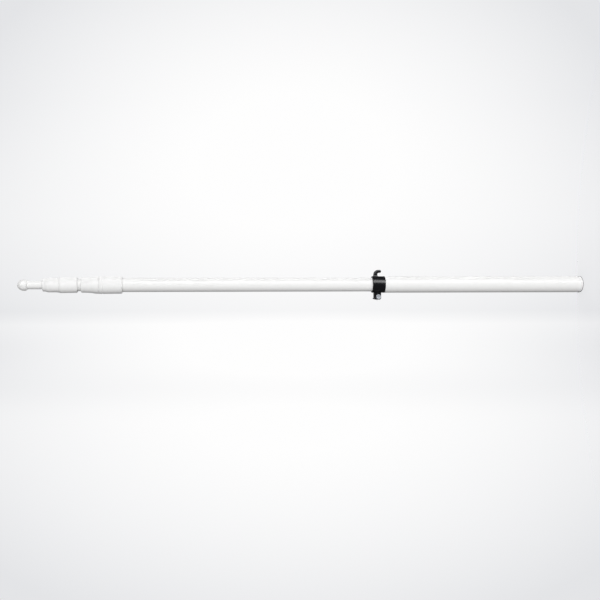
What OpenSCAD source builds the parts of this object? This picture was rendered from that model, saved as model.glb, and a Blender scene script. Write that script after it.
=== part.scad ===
// Telescopic flagpole, stored pushed together and standing upright.
// Three sections slide up out of a base tube. Twist locks hold the two upper joints, and a
// bolted clamp ring with a halyard hook holds the lowest one.
// Millimetres, +Z up the pole, origin at the centre of the ground face, hook on +X,
// clamp ears on -X, bolt head on -Y.

/* [Base tube] */
// Outside diameter of the base tube
base_od = 50; // [46:0.5:60]
// Wall of the base tube
base_wall = 2; // [1.5:0.1:2.5]
// Length of the base tube
base_len = 620; // [480:1:760]

/* [Sliding tubes] */
// Gap all round between the base tube and the lower tube
lower_gap = 2; // [1.2:0.1:3]
// Wall of the lower tube
lower_wall = 1.8; // [1.5:0.1:2.2]
// Length of the lower tube
lower_len = 1450; // [1160:1:1740]
// Gap all round between the lower tube and the middle tube
middle_gap = 1.2; // [1:0.1:1.5]
// Wall of the middle tube
middle_wall = 1.6; // [1.3:0.1:2]
// Gap all round between the middle tube and the top tube
top_gap = 4.4; // [3.5:0.1:5.3]
// Wall of the top tube
top_wall = 1.5; // [1.2:0.1:1.8]
// Bare middle tube between the two twist locks
lock_spacing = 10.7; // [8:0.1:14]
// Bare top tube between the upper lock and the finial
stem_len = 42.5; // [30:0.5:60]

/* [End cap and foot bushes] */
// Height of the cap's flange under the base tube
cap_flange = 6; // [5:0.5:8]
// Edge radius of the cap's flange
cap_edge = 4; // [2:0.5:4.5]
// Height of the cap's plug wall inside the base tube
cap_plug = 16; // [10:1:24]
// Wall of the cap's plug
cap_wall = 3; // [2:0.5:4]
// Floor of each foot bush, which carries its tube
bush_floor = 6; // [4:0.5:8]
// Height of each foot bush
bush_len = 40; // [30:1:50]
// Radius of the drain hole through each floor
drain_r = 4; // [3:0.5:5]

/* [Clamp ring] */
// Height of the clamp ring above the base tube
clamp_h = 39.5; // [33:0.5:47]
// Step from the base tube's outside in to the ring's outside
clamp_inset = 0.3; // [0.2:0.1:0.8]
// Edge radius of the ring
clamp_edge = 1.6; // [1:0.1:2]
// Length of the ring's spigot inside the base tube
spigot_len = 30; // [20:1:40]
// Width of the slit between the ears
slit_w = 3; // [2:0.5:4]
// Ring left whole below the slit
slit_floor = 4; // [3:0.5:6]
// Thickness of one ear
ear_t = 7; // [5:0.5:9]
// Height of an ear, along the pole
ear_h = 21; // [18:0.5:25]
// Reach of an ear beyond the ring
ear_reach = 21.5; // [20:0.5:25]
// Corner radius of an ear
ear_corner = 6; // [4:0.5:8]
// Upper edge of the ears below the top of the ring
ear_drop = 7; // [5.5:0.5:8.5]

/* [Clamp bolt] */
// Diameter of the bolt
bolt_d = 8; // [6:1:8]
// Width across the flats of the bolt's head
bolt_flats = 13; // [11:0.5:15]
// Height of the bolt's head
bolt_head_h = 5.3; // [4.5:0.1:6.5]
// Outside diameter of a washer
washer_od = 16; // [13:0.5:16.5]
// Thickness of a washer
washer_t = 1.6; // [1.2:0.1:2]
// Bolt's axis below the top of the ring
bolt_drop = 19.5; // [18:0.5:20.5]
// Bolt's axis beyond the ring's outside
bolt_reach = 13.3; // [11.8:0.1:13.5]
// Height of the wing nut's hub
hub_h = 9; // [7:0.5:11]
// Radius of the wing nut's hub at its foot
hub_r = 7; // [6:0.5:8]
// Tip of a wing from the nut's axis
wing_reach = 15.5; // [14:0.5:18]
// Radius of a wing's round end
wing_lobe = 4.6; // [4:0.1:5]
// Thickness of a wing
wing_t = 3; // [2.4:0.2:3.6]
// Turn of the wings from the pole's direction, in degrees
wing_turn = 24; // [0:1:35]

/* [Halyard hook] */
// Raised flat on the ring that the hook stands on
pad_rise = 1; // [0.6:0.1:1.5]
// Half width of the flat
pad_half = 7; // [6:0.5:8]
// Height of the flat, along the pole
pad_h = 16; // [14:0.5:18]
// Hook's stalk below the top of the ring
hook_drop = 12.5; // [11:0.5:16]
// Straight stalk between the flat and the bend
hook_stalk = 4; // [3:0.5:6]
// Radius of the bend, on the centre line
hook_bend = 10.3; // [9.5:0.1:12]
// Straight end after the bend
hook_end = 3; // [1:0.5:4]
// Thickness of the hook at its stalk, in the plane of the bend
stalk_t = 11.4; // [9:0.1:12]
// Thickness of the hook at its tip
tip_t = 8.2; // [6.5:0.1:9]
// Width of the stalk across the bend
stalk_w = 11; // [8:0.5:12]

/* [Twist locks] */
// Length of the lower lock's sleeve below the tube's rim
lower_grip = 63; // [52:1:75]
// Length of the lower lock's nut
lower_nut_len = 52; // [46:1:60]
// Wall of the lower sleeve at its foot
lower_sleeve_wall = 4.7; // [4:0.1:5.5]
// Length of the upper lock's sleeve below the tube's rim
upper_grip = 46.5; // [40:0.5:55]
// Length of the upper lock's nut
upper_nut_len = 49.8; // [46:0.1:56]
// Wall of the upper sleeve at its foot
upper_sleeve_wall = 4.8; // [4:0.1:5.5]
// Lip of each sleeve above the tube's rim
sleeve_lip = 4; // [3:0.5:5]
// Length of each sleeve's threaded neck
neck_len = 15; // [12:1:17]
// Length of each collet
collet_len = 22; // [18:1:24]
// Height of the collet's unsplit foot
collet_foot_h = 3; // [2:0.5:4]
// Width of a slot in the collet
collet_slot = 1.5; // [1:0.1:2]
// Wall of the collet at its thin end, beyond the tube that it grips
collet_tip = 1.1; // [0.9:0.1:1.4]
// Least wall of a sleeve's threaded neck
neck_wall = 3; // [2.5:0.1:3.5]
// Visible seam between a sleeve and its nut
seam = 0.4; // [0.3:0.1:0.6]

/* [Finial] */
// Largest diameter of the knob
knob_d = 33; // [30:0.5:40]
// Height of the knob's dome
dome_h = 20; // [16:0.5:24]
// Height of the knob's straight band and underside
band_h = 9.3; // [7:0.1:11]
// Edge radius of the knob's underside
knob_edge = 3.2; // [2:0.1:3.5]
// Length of the knob's plug inside the top tube
plug_len = 25; // [18:1:32]

/* [Fits] */
// Glue gap between a fitting and the tube that it is fixed to
glue_gap = 0.1; // [0.05:0.05:0.2]
// Running gap between a sliding tube and what guides it
slide_gap = 0.3; // [0.2:0.05:0.5]
// Gap between the clamp ring and the lower tube
clamp_gap = 0.15; // [0.1:0.05:0.3]
// Gap between a bolt and its holes
bolt_gap = 0.25; // [0.1:0.05:0.4]
// Gap between the bolt's thread and the nut's
thread_gap = 0.05; // [0.05:0.05:0.15]

/* [Hidden] */

$fn = 96;
eps = 0.01;
through = 200; // longer than anything that a hole or slit is cut through
lead = 0.8; // chamfer that leads a plug, neck or bush into its bore
sink = 2; // how far a boss runs into the wall that it stands on

// Radii of the four tubes, outside then inside, from the base tube inwards.
base_r = base_od / 2;
base_bore = base_r - base_wall;
lower_r = base_bore - lower_gap;
lower_bore = lower_r - lower_wall;
middle_r = lower_bore - middle_gap;
middle_bore = middle_r - middle_wall;
top_r = middle_bore - top_gap;
top_bore = top_r - top_wall;

// Heights, each from the one before. A section pushed home stands on the floor below it.
base_rim = cap_flange + base_len;
lower_seat = cap_flange + cap_plug;
lower_foot = lower_seat + bush_floor;
lower_rim = lower_foot + lower_len;
lower_nut_foot = lower_rim + sleeve_lip + seam;
lower_nut_top = lower_nut_foot + lower_nut_len;
middle_seat = lower_foot;
middle_foot = middle_seat + bush_floor;
middle_rim = lower_nut_top + lock_spacing + upper_grip;
upper_nut_foot = middle_rim + sleeve_lip + seam;
upper_nut_top = upper_nut_foot + upper_nut_len;
top_seat = middle_foot;
top_foot = top_seat + bush_floor;
top_rim = upper_nut_top + stem_len;

// Clamp ring, its bolt and its hook.
clamp_r = base_r - clamp_inset;
ear_face = slit_w / 2 + ear_t;
bolt_x = -clamp_r - bolt_reach;
clamp_top = base_rim + clamp_h;
bolt_z = clamp_top - bolt_drop;
bolt_r = bolt_d / 2;
nut_face = ear_face + washer_t;
bolt_tail = 2; // thread that shows past the hub
pad_x = clamp_r + pad_rise;
hook_z = clamp_top - hook_drop;

// Points of an arc of radius r about [x, y], from angle a to angle b.
function arc(x, y, r, a, b, steps = 6) =
    [for (i = [0:steps]) let (t = a + (b - a) * i / steps) [x + r * cos(t), y + r * sin(t)]];

// Turns an outline of [radius, height] points round the pole's axis.
module turned(points, z = 0) {
    translate([0, 0, z]) rotate_extrude() polygon(points);
}

// A plain round tube from one height to another.
module tube(outer, inner, z_low, z_high) {
    turned([[inner, z_low], [outer, z_low], [outer, z_high], [inner, z_high]]);
}

// A bush that a tube's foot stands in. It slides inside the next tube out.
module foot_bush(tube_r, guide_bore, seat) {
    outer = guide_bore - slide_gap;
    pocket = tube_r + glue_gap;
    turned([
        [drain_r, 0], [outer - lead, 0], [outer, lead], [outer, bush_len - lead], [outer - lead / 2, bush_len],
        [pocket, bush_len], [pocket, bush_floor], [drain_r, bush_floor]
    ], seat);
}

// The fixed half of a twist lock: a sleeve over the tube's end, a lip on its rim and a threaded
// neck. skin is the outer outline, from the foot up to the seam, as [radius, height over the rim].
module lock_sleeve(skin, tube_r, inner_tube_r, rim) {
    neck = neck_r(tube_r, inner_tube_r);
    bore = inner_tube_r + slide_gap;
    neck_top = sleeve_lip + neck_len;
    turned(concat(
        skin,
        [[neck, sleeve_lip], [neck, neck_top - lead], [neck - lead, neck_top], [bore, neck_top]],
        [[bore, 0], [tube_r + glue_gap, 0], [tube_r + glue_gap, skin[0][1]]]
    ), rim);
}

// The thread's radius: half a millimetre inside the tube's, or more where the wall needs it.
function neck_r(tube_r, inner_tube_r) = max(tube_r - 0.5, inner_tube_r + slide_gap + neck_wall);

// The split collet that stands on the neck and grips the inner tube. It thins towards its tip.
module lock_collet(tube_r, inner_tube_r, rim) {
    bore = inner_tube_r + clamp_gap;
    foot_r = neck_r(tube_r, inner_tube_r) - lead;
    tip_r = bore + collet_tip;
    foot = rim + sleeve_lip + neck_len;
    slots = 4;
    difference() {
        turned([
            [bore, 0], [foot_r, 0], [foot_r, collet_foot_h], [tip_r, collet_len], [bore, collet_len]
        ], foot);
        for (i = [0:slots - 1])
            rotate([0, 0, 45 + i * 360 / slots])
                translate([bore - 1, -collet_slot / 2, foot + 2 * collet_foot_h])
                    cube([foot_r, collet_slot, collet_len]);
    }
}

// The turning half of a twist lock. skin is the outer outline from the seam up to the mouth, as
// [radius, height over the nut's foot]. Its cavity clears the neck and then narrows over the collet.
module lock_nut(skin, tube_r, inner_tube_r, foot, nut_len) {
    neck_bore = neck_r(tube_r, inner_tube_r) + slide_gap;
    collet_foot = neck_len - seam;
    mouth = inner_tube_r + 2 * slide_gap;
    cone_end = collet_foot + collet_len + 1;
    turned(concat(
        skin,
        [[mouth, nut_len], [mouth, cone_end], [mouth + collet_tip + slide_gap, cone_end]],
        [[neck_bore, collet_foot + collet_foot_h], [neck_bore, 0]]
    ), foot);
}

// Outer outline of the lower sleeve: a rounded foot, a slight swell and a rim under the seam.
function lower_sleeve_skin() =
    let (r = lower_r + lower_sleeve_wall, top = sleeve_lip)
    concat(
        [[lower_r + glue_gap, -lower_grip]],
        arc(r - 3, 3 - lower_grip, 3, -90, 0),
        [[r + 0.5, -8], [r + 0.1, -5], [r - 0.4, -4.2], [r - 0.4, -3.6], [r + 0.1, -3]],
        arc(r - 0.7, top - 0.8, 0.8, 0, 90, 4)
    );

// Outer outline of the lower nut: a full foot, a shoulder that draws in, and a plain nose.
function lower_nut_skin() =
    let (r = lower_r + lower_sleeve_wall + 0.1, top = lower_nut_len)
    concat(
        arc(r - 0.6, 0.6, 0.6, -90, 0, 4),
        [[r, 4], [r - 0.25, 8], [r - 0.55, 12], [r - 1.1, 16], [r - 1.9, 20], [r - 2.5, 24]],
        [[r - 2.75, 28], [r - 3.4, top - 6]],
        arc(r - 5.9, top - 2.6, 2.6, 15, 90)
    );

// Outer outline of the upper sleeve: a rounded foot and a slight swell up to the seam.
function upper_sleeve_skin() =
    let (r = middle_r + upper_sleeve_wall, top = sleeve_lip)
    concat(
        [[middle_r + glue_gap, -upper_grip]],
        arc(r - 2.5, 2.5 - upper_grip, 2.5, -90, 0),
        [[r + 0.3, -16], [r + 0.6, -1]],
        arc(r - 0.2, top - 0.9, 0.9, 0, 90, 4)
    );

// Outer outline of the upper nut: a foot, a waist, a long chamfer and a beaded nose.
function upper_nut_skin() =
    let (r = middle_r + upper_sleeve_wall - 0.7, top = upper_nut_len)
    concat(
        arc(r - 0.6, 0.6, 0.6, -90, 0, 4),
        [[r - 0.1, 4], [r - 0.7, 8], [r - 0.9, 12], [r - 0.8, top - 18]],
        arc(r - 2.3, top - 17.5, 1.5, 0, 40, 3),
        [[r - 2.7, top - 9.2], [r - 3.3, top - 8], [r - 3.4, top - 6]],
        arc(r - 6.4, top - 3, 3, 10, 90)
    );

module base_tube() {
    color("white") tube(base_r, base_bore, cap_flange, base_rim);
}

// Flanged plug that closes the foot of the pole. Its wall carries the pushed-in sections.
module base_end_cap() {
    plug_r = base_bore - glue_gap;
    color("white") turned(concat(
        [[0, 0]],
        arc(base_r - cap_edge, cap_edge, cap_edge, -90, 0),
        [[base_r, cap_flange], [plug_r, cap_flange], [plug_r, lower_seat - lead]],
        [[plug_r - lead, lower_seat], [plug_r - cap_wall, lower_seat]],
        [[plug_r - cap_wall, cap_flange], [0, cap_flange]]
    ));
}

// One ear's outline in the plane of the pole, with its outer corners rounded.
module ear_outline() {
    root = -clamp_r + 2 * sink;
    tip = -clamp_r - ear_reach;
    high = clamp_top - ear_drop;
    low = high - ear_h;
    c = ear_corner;
    polygon(concat(
        [[root, low]], arc(-tip - c, low + c, c, -90, 0) * [[-1, 0], [0, 1]],
        arc(-tip - c, high - c, c, 0, 90) * [[-1, 0], [0, 1]], [[root, high]]
    ));
}

// Split ring on the base tube's rim, with a spigot inside the tube, two ears for the bolt and a
// flat for the hook, all one moulding.
module clamp_ring() {
    bore = lower_r + clamp_gap;
    spigot_r = base_bore - glue_gap;
    e = clamp_edge;
    color([0.06, 0.06, 0.065]) difference() {
        union() {
            turned(concat(
                [[bore, -spigot_len], [spigot_r - lead, -spigot_len], [spigot_r, lead - spigot_len]],
                [[spigot_r, 0]],
                arc(clamp_r - e, e, e, -90, 0),
                arc(clamp_r - e, clamp_h - e, e, 0, 90),
                [[bore, clamp_h]]
            ), base_rim);
            difference() {
                translate([0, ear_face, 0]) rotate([90, 0, 0])
                    linear_extrude(2 * ear_face) ear_outline();
                cylinder(r = clamp_r - sink / 2, h = 2 * base_rim);
            }
            translate([clamp_r - sink, -pad_half, hook_z - pad_h / 2])
                cube([pad_rise + sink, 2 * pad_half, pad_h]);
        }
        translate([-clamp_r - through, -slit_w / 2, base_rim + slit_floor])
            cube([clamp_r + through - 1, slit_w, through]);
        bolt_hole(bolt_r + bolt_gap);
        translate([0, 0, base_rim - spigot_len - 1]) cylinder(r = bore, h = through);
    }
}

// A hole of radius r along the bolt's axis.
module bolt_hole(r) {
    translate([bolt_x, through / 2, bolt_z]) rotate([90, 0, 0]) cylinder(r = r, h = through);
}

// A round piece on the bolt's axis between two values of Y.
module on_bolt(r, y_low, y_high) {
    translate([bolt_x, y_high, bolt_z]) rotate([90, 0, 0]) cylinder(r = r, h = y_high - y_low);
}

module clamp_bolt() {
    head_y = -nut_face;
    tail_y = nut_face + hub_h + bolt_tail;
    corner_r = bolt_flats / 2 / cos(30);
    color("silver") union() {
        translate([bolt_x, head_y, bolt_z]) rotate([90, 0, 0]) intersection() {
            cylinder(r = corner_r, h = bolt_head_h, $fn = 6);
            cylinder(r1 = corner_r + bolt_head_h, r2 = bolt_flats / 2, h = bolt_head_h);
        }
        on_bolt(bolt_r, head_y - eps, tail_y);
    }
}

// A washer that starts at one value of Y.
module washer(y_low) {
    color("silver") difference() {
        on_bolt(washer_od / 2, y_low, y_low + washer_t);
        bolt_hole(bolt_r + bolt_gap);
    }
}

// One wing's outline, as [distance from the nut's axis, height over the nut's foot].
module wing_outline() {
    edge = 1.5;
    root = hub_r - 2 * edge;
    tip_x = wing_reach - wing_lobe;
    tip_y = hub_h + edge;
    union() {
        translate([tip_x, tip_y]) circle(r = wing_lobe, $fn = 48);
        polygon(concat(
            [[root, edge], [hub_r - 0.6, edge]],
            [for (a = [-25, 140]) [tip_x + wing_lobe * cos(a), tip_y + wing_lobe * sin(a)]],
            [[root, hub_h - edge]]
        ));
    }
}

module wing_nut() {
    color("silver") translate([bolt_x, nut_face, bolt_z]) rotate([-90, 0, 0])
        rotate([0, 0, 90 - wing_turn]) difference() {
            union() {
                cylinder(r1 = hub_r, r2 = hub_r - 1.5, h = hub_h);
                for (side = [0, 180])
                    rotate([0, 0, side]) translate([0, wing_t / 2, 0]) rotate([90, 0, 0])
                        linear_extrude(wing_t) wing_outline();
            }
            translate([0, 0, -1]) cylinder(r = bolt_r + thread_gap, h = through);
        }
}

// Stations of the hook from its foot to its tip. Each is [x, z, direction of the centre line in
// degrees from +X towards -Z, thickness in the bend's plane, width].
function hook_stations() =
    let (
        bend_x = pad_x + hook_stalk, bend_z = hook_z - hook_bend,
        bends = 9, tip_w = tip_t + 0.4
    )
    concat(
        [for (foot = [[0, 3.4, 2.4], [1.2, 3, 2], [2.4, 0.4, 0.2]])
            [pad_x + foot[0], hook_z, 0, stalk_t + foot[1], stalk_w + foot[2]]],
        [for (i = [0:bends]) let (a = 90 * i / bends, k = i / bends)
            [bend_x + hook_bend * sin(a), bend_z + hook_bend * cos(a), a,
             stalk_t + (tip_t - stalk_t) * k, stalk_w + (tip_w - stalk_w) * k]],
        [for (a = [0, 30, 55, 75])
            [bend_x + hook_bend, bend_z - hook_end - tip_t / 2 * sin(a), 90, tip_t * cos(a), tip_w * cos(a)]]
    );

// A closed skin round the stations, each a rounded section of the given number of sides.
module hook_skin(stations, sides = 20) {
    last = len(stations) - 1;
    points = [
        for (s = stations, i = [0:sides - 1])
            let (a = 360 * i / sides, t = s[3] / 2 * cos(a), w = s[4] / 2 * sin(a))
            [s[0] + t * sin(s[2]), w, s[1] + t * cos(s[2])]
    ];
    polyhedron(points, concat(
        [[for (i = [0:sides - 1]) i]],
        [for (k = [0:last - 1], i = [0:sides - 1]) let (j = (i + 1) % sides)
            [(k + 1) * sides + i, (k + 1) * sides + j, k * sides + j, k * sides + i]],
        [[for (i = [sides - 1:-1:0]) last * sides + i]]
    ));
}

// Open hook that the halyard is belayed on. Its tip points down the pole.
module halyard_hook() {
    color([0.06, 0.06, 0.065]) hook_skin(hook_stations());
}

module lower_tube() {
    color("white") tube(lower_r, lower_bore, lower_foot, lower_rim);
}

module middle_tube() {
    color("white") tube(middle_r, middle_bore, middle_foot, middle_rim);
}

module top_tube() {
    color("white") tube(top_r, top_bore, top_foot, top_rim);
}

// Egg-shaped knob with a flat underside on the tube's rim and a plug inside the tube.
module finial_knob() {
    r = knob_d / 2;
    plug_r = top_bore - glue_gap;
    color("white") turned(concat(
        [[0, -plug_len], [plug_r - lead, -plug_len], [plug_r, lead - plug_len], [plug_r, 0]],
        arc(r - knob_edge, knob_edge, knob_edge, -90, 0),
        [for (i = [0:24]) let (a = 90 * i / 24) [i == 24 ? 0 : r * cos(a), band_h + dome_h * sin(a)]]
    ), top_rim);
}

base_tube();
base_end_cap();
clamp_ring();
halyard_hook();
clamp_bolt();
washer(-nut_face);  // bolt_washer
washer(ear_face);  // nut_washer
wing_nut();
lower_tube();
color("dimgray") foot_bush(lower_r, base_bore, lower_seat);  // lower_foot_bush
color("white") lock_sleeve(lower_sleeve_skin(), lower_r, middle_r, lower_rim);  // lower_lock_sleeve
color("dimgray") lock_collet(lower_r, middle_r, lower_rim);  // lower_lock_collet
color("white") lock_nut(lower_nut_skin(), lower_r, middle_r, lower_nut_foot, lower_nut_len);  // lower_lock_nut
middle_tube();
color("dimgray") foot_bush(middle_r, lower_bore, middle_seat);  // middle_foot_bush
color("white") lock_sleeve(upper_sleeve_skin(), middle_r, top_r, middle_rim);  // upper_lock_sleeve
color("dimgray") lock_collet(middle_r, top_r, middle_rim);  // upper_lock_collet
color("white") lock_nut(upper_nut_skin(), middle_r, top_r, upper_nut_foot, upper_nut_len);  // upper_lock_nut
top_tube();
color("dimgray") foot_bush(top_r, middle_bore, top_seat);  // top_foot_bush
finial_knob();
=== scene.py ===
"""Looks of a white telescopic flagpole, stored pushed together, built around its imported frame.

The pole stands on z = 0 and runs up +Z. The halyard hook points to +X, the clamp's ears to -X,
and the head of the clamp bolt to -Y. All lengths are in metres and all angles in degrees.
"""

from __future__ import annotations

import logging
import math
from dataclasses import dataclass
from enum import Enum
from typing import Callable, Iterable, Optional, Sequence

import bmesh
import bpy
from mathutils import Matrix, Vector


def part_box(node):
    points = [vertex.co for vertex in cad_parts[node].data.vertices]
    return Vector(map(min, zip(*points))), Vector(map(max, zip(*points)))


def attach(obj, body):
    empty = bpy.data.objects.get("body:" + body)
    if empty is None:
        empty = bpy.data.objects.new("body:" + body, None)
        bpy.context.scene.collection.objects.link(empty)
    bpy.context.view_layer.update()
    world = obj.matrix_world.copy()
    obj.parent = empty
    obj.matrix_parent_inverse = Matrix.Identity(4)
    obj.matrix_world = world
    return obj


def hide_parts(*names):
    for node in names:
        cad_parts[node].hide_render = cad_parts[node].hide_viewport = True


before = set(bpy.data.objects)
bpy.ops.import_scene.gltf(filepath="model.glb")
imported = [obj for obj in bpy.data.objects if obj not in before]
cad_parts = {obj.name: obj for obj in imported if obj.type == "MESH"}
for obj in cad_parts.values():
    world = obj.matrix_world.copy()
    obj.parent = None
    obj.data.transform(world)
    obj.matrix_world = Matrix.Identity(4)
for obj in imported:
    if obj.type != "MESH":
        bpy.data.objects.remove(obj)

Outline = list[tuple[float, float]]
Colour = tuple[float, float, float]
Socket = bpy.types.NodeSocket

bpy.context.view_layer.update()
MM = 0.001
FINE = 128  # sides of a large turned piece
SMALL = 64  # sides of a turned piece on the bolt
LEAD = 0.8 * MM  # lead-in on an edge that goes into a bore
LOG = logging.getLogger("flagpole")


class Pick(Enum):
    """Kind of mesh element that a hand step works on."""

    VERTS = "verts"
    EDGES = "edges"
    FACES = "faces"


class Join(Enum):
    """Ways of joining one solid to another."""

    ADD = "UNION"
    CUT = "DIFFERENCE"
    KEEP_COMMON = "INTERSECT"


@dataclass(frozen=True)
class Span:
    """Place of one CAD node: its height range and its radius about the pole's axis."""

    low: float
    high: float
    radius: float

    @classmethod
    def of(cls, node: str) -> "Span":
        """Measures a node that is turned about the pole's axis.

        Args:
            node: Name of the CAD node.

        Returns:
            Its span, with the radius brought back to the tenth of a millimetre that it is drawn in.
        """
        low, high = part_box(node)
        return cls(low[2], high[2], round((high[1] - low[1]) / 2, 4))


def arc(x: float, z: float, radius: float, start: float, end: float, steps: int = 6) -> Outline:
    """Works out the points of an arc in an outline.

    Args:
        x: Centre, from the axis.
        z: Height of the centre.
        radius: Radius of the arc.
        start: Angle of the first point, from the outward direction upwards.
        end: Angle of the last point.
        steps: Number of stretches.

    Returns:
        The arc's points, as pairs of radius and height.
    """
    turns = [math.radians(start + (end - start) * i / steps) for i in range(steps + 1)]
    return [(x + radius * math.cos(t), z + radius * math.sin(t)) for t in turns]


def with_rings(outline: Outline, ends: Iterable[float]) -> Outline:
    """Adds points to the outer, rising part of an outline, so that a pattern can end there.

    Args:
        outline: Points from the foot upwards.
        ends: Heights at which the pattern ends. Each gets a point on either side.

    Returns:
        The same shape with the extra points.
    """
    points = list(outline)
    for height in [end + side * 0.8 * MM for end in ends for side in (-1, 1)]:
        for i, ((r0, z0), (r1, z1)) in enumerate(zip(points, points[1:])):
            if z0 < height - 1e-7 and z1 > height + 1e-7:
                points.insert(i + 1, (r0 + (r1 - r0) * (height - z0) / (z1 - z0), height))
                break
    return points


def hang(name: str, data: bpy.types.ID, place: Matrix) -> bpy.types.Object:
    """Puts a camera or a lamp into the scene.

    Args:
        name: Name of the object.
        data: Its camera or light.
        place: Where it stands and how it is turned.

    Returns:
        The object.
    """
    made = bpy.data.objects.new(name, data)
    bpy.context.scene.collection.objects.link(made)
    made.matrix_world = place
    return made


# ---------------------------------------------------------------------------------------------
# Hand steps
# ---------------------------------------------------------------------------------------------


class Workpiece:
    """A mesh on the bench, shaped by one hand step after another."""

    def __init__(self, thing: bpy.types.Object, name: str) -> None:
        """Takes a new primitive to the bench, with its place moved into its mesh.

        Args:
            thing: The primitive's object.
            name: Name of the finished piece.
        """
        self.thing = thing
        thing.name = thing.data.name = name
        self._only()
        bpy.ops.object.transform_apply(location=True, rotation=True, scale=True)

    def _only(self) -> None:
        """Makes this piece the only selected one."""
        bpy.ops.object.select_all(action="DESELECT")
        self.thing.select_set(True)
        bpy.context.view_layer.objects.active = self.thing

    @classmethod
    def ring(cls, name: str, radius: float, height: float, sides: int) -> "Workpiece":
        """Starts from an empty ring about the Z axis."""
        bpy.ops.mesh.primitive_circle_add(
            vertices=sides, radius=radius, fill_type="NOTHING", location=(0, 0, height))
        return cls(bpy.context.object, name)

    @classmethod
    def block(cls, name: str, low: Sequence[float], high: Sequence[float]) -> "Workpiece":
        """Starts from a block between two corners."""
        middle = [(a + b) / 2 for a, b in zip(low, high)]
        bpy.ops.mesh.primitive_cube_add(
            size=1, location=middle, scale=[b - a for a, b in zip(low, high)])
        return cls(bpy.context.object, name)

    @classmethod
    def prism(cls, name: str, sides: int, radius: float, low: float, high: float) -> "Workpiece":
        """Starts from a prism about the Z axis, with its first corner on +X."""
        bpy.ops.mesh.primitive_cylinder_add(
            vertices=sides, radius=radius, depth=high - low, location=(0, 0, (low + high) / 2),
            rotation=(0, 0, math.pi / 2))
        return cls(bpy.context.object, name)

    @classmethod
    def turned(cls, name: str, outline: Outline, sides: int = FINE) -> "Workpiece":
        """Turns an outline about the Z axis, ring by ring.

        Args:
            name: Name of the piece.
            outline: Points as pairs of radius and height. An end on the axis becomes a pole, and
                an outline with neither end there is closed from its last point to its first.
            sides: Number of sides.

        Returns:
            The closed piece.
        """
        pole_first = outline[0][0] == 0
        rings = outline[1:] if pole_first else outline + outline[:1]
        piece = cls.ring(name, rings[0][0], rings[0][1], sides)
        piece.edit()
        bpy.ops.mesh.select_all(action="SELECT")
        for (r0, z0), (r1, z1) in zip(rings, rings[1:]):
            piece.draw_ring(r1 / r0, z1 - z0, z1)
        if pole_first:
            bpy.ops.mesh.select_all(action="DESELECT")
            bpy.ops.mesh.select_non_manifold()
            piece.draw_ring(0, outline[0][1] - outline[1][1], outline[0][1])
        bpy.ops.mesh.select_all(action="SELECT")
        bpy.ops.mesh.remove_doubles(threshold=0.002 * MM)
        bpy.ops.mesh.normals_make_consistent(inside=False)
        piece.leave()
        return piece

    def edit(self) -> None:
        """Opens the piece in edit mode."""
        self._only()
        bpy.ops.object.mode_set(mode="EDIT")

    def leave(self) -> None:
        """Goes back to object mode."""
        if bpy.context.mode == "EDIT_MESH":
            bpy.ops.object.mode_set(mode="OBJECT")

    def draw_ring(self, scale: float, rise: float, height: float) -> None:
        """Extrudes the selected ring and scales the new one, or closes it to a pole.

        Args:
            scale: Radius of the new ring over that of the old one, 0 for a pole.
            rise: Height of the new ring over the old one.
            height: Height of the new ring.
        """
        bpy.ops.mesh.extrude_edges_move(TRANSFORM_OT_translate={"value": (0, 0, rise)})
        if scale == 0:
            bpy.ops.mesh.merge(type="CENTER")
        elif scale != 1:
            bpy.ops.transform.resize(value=(scale, scale, 1), center_override=(0, 0, height))

    def pick(self, kind: Pick, test: Callable[[Vector, Vector], bool]) -> None:
        """Selects the elements that pass a test, and nothing else, in edit mode.

        Args:
            kind: Kind of element.
            test: Takes an element's middle and its direction, which is a face's or a vertex's
                normal or the way an edge runs.
        """
        bpy.context.tool_settings.mesh_select_mode = [kind is other for other in Pick]
        bpy.ops.mesh.select_all(action="DESELECT")
        mesh = bmesh.from_edit_mesh(self.thing.data)
        for element in getattr(mesh, kind.value):
            if kind is Pick.VERTS:
                middle, way = element.co, element.normal
            elif kind is Pick.EDGES:
                ends = [v.co for v in element.verts]
                middle, way = (ends[0] + ends[1]) / 2, (ends[1] - ends[0]).normalized()
            else:
                middle, way = element.calc_center_median(), element.normal
            element.select_set(test(middle, way))
        mesh.select_flush_mode()
        bmesh.update_edit_mesh(self.thing.data)

    def flute(self, count: int, depth: float, low: float, high: float) -> None:
        """Presses shallow lengthwise grooves into the outside between two heights.

        The piece has four sides for each groove, so one corner in four goes to full depth and
        its neighbours to half.

        Args:
            count: Number of grooves round the piece.
            depth: Depth of a groove.
            low: Lower end.
            high: Upper end.
        """
        self.edit()
        radius = max(math.hypot(v.co.x, v.co.y) for v in self.thing.data.vertices)
        skin = 0.9 * radius
        for phase, share in ((0.5, 1.0), (0.25, 0.5), (0.75, 0.5)):
            def in_groove(place: Vector, _: Vector) -> bool:
                """Tells whether a vertex lies on this part of a groove."""
                turn = math.atan2(place.y, place.x) / math.tau * count % 1.0
                return (abs(turn - phase) < 0.1 and low < place.z < high
                        and math.hypot(place.x, place.y) > skin)
            self.pick(Pick.VERTS, in_groove)
            scale = 1 - depth * share / radius
            bpy.ops.transform.resize(value=(scale, scale, 1), center_override=(0, 0, 0))
        self.leave()

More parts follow.
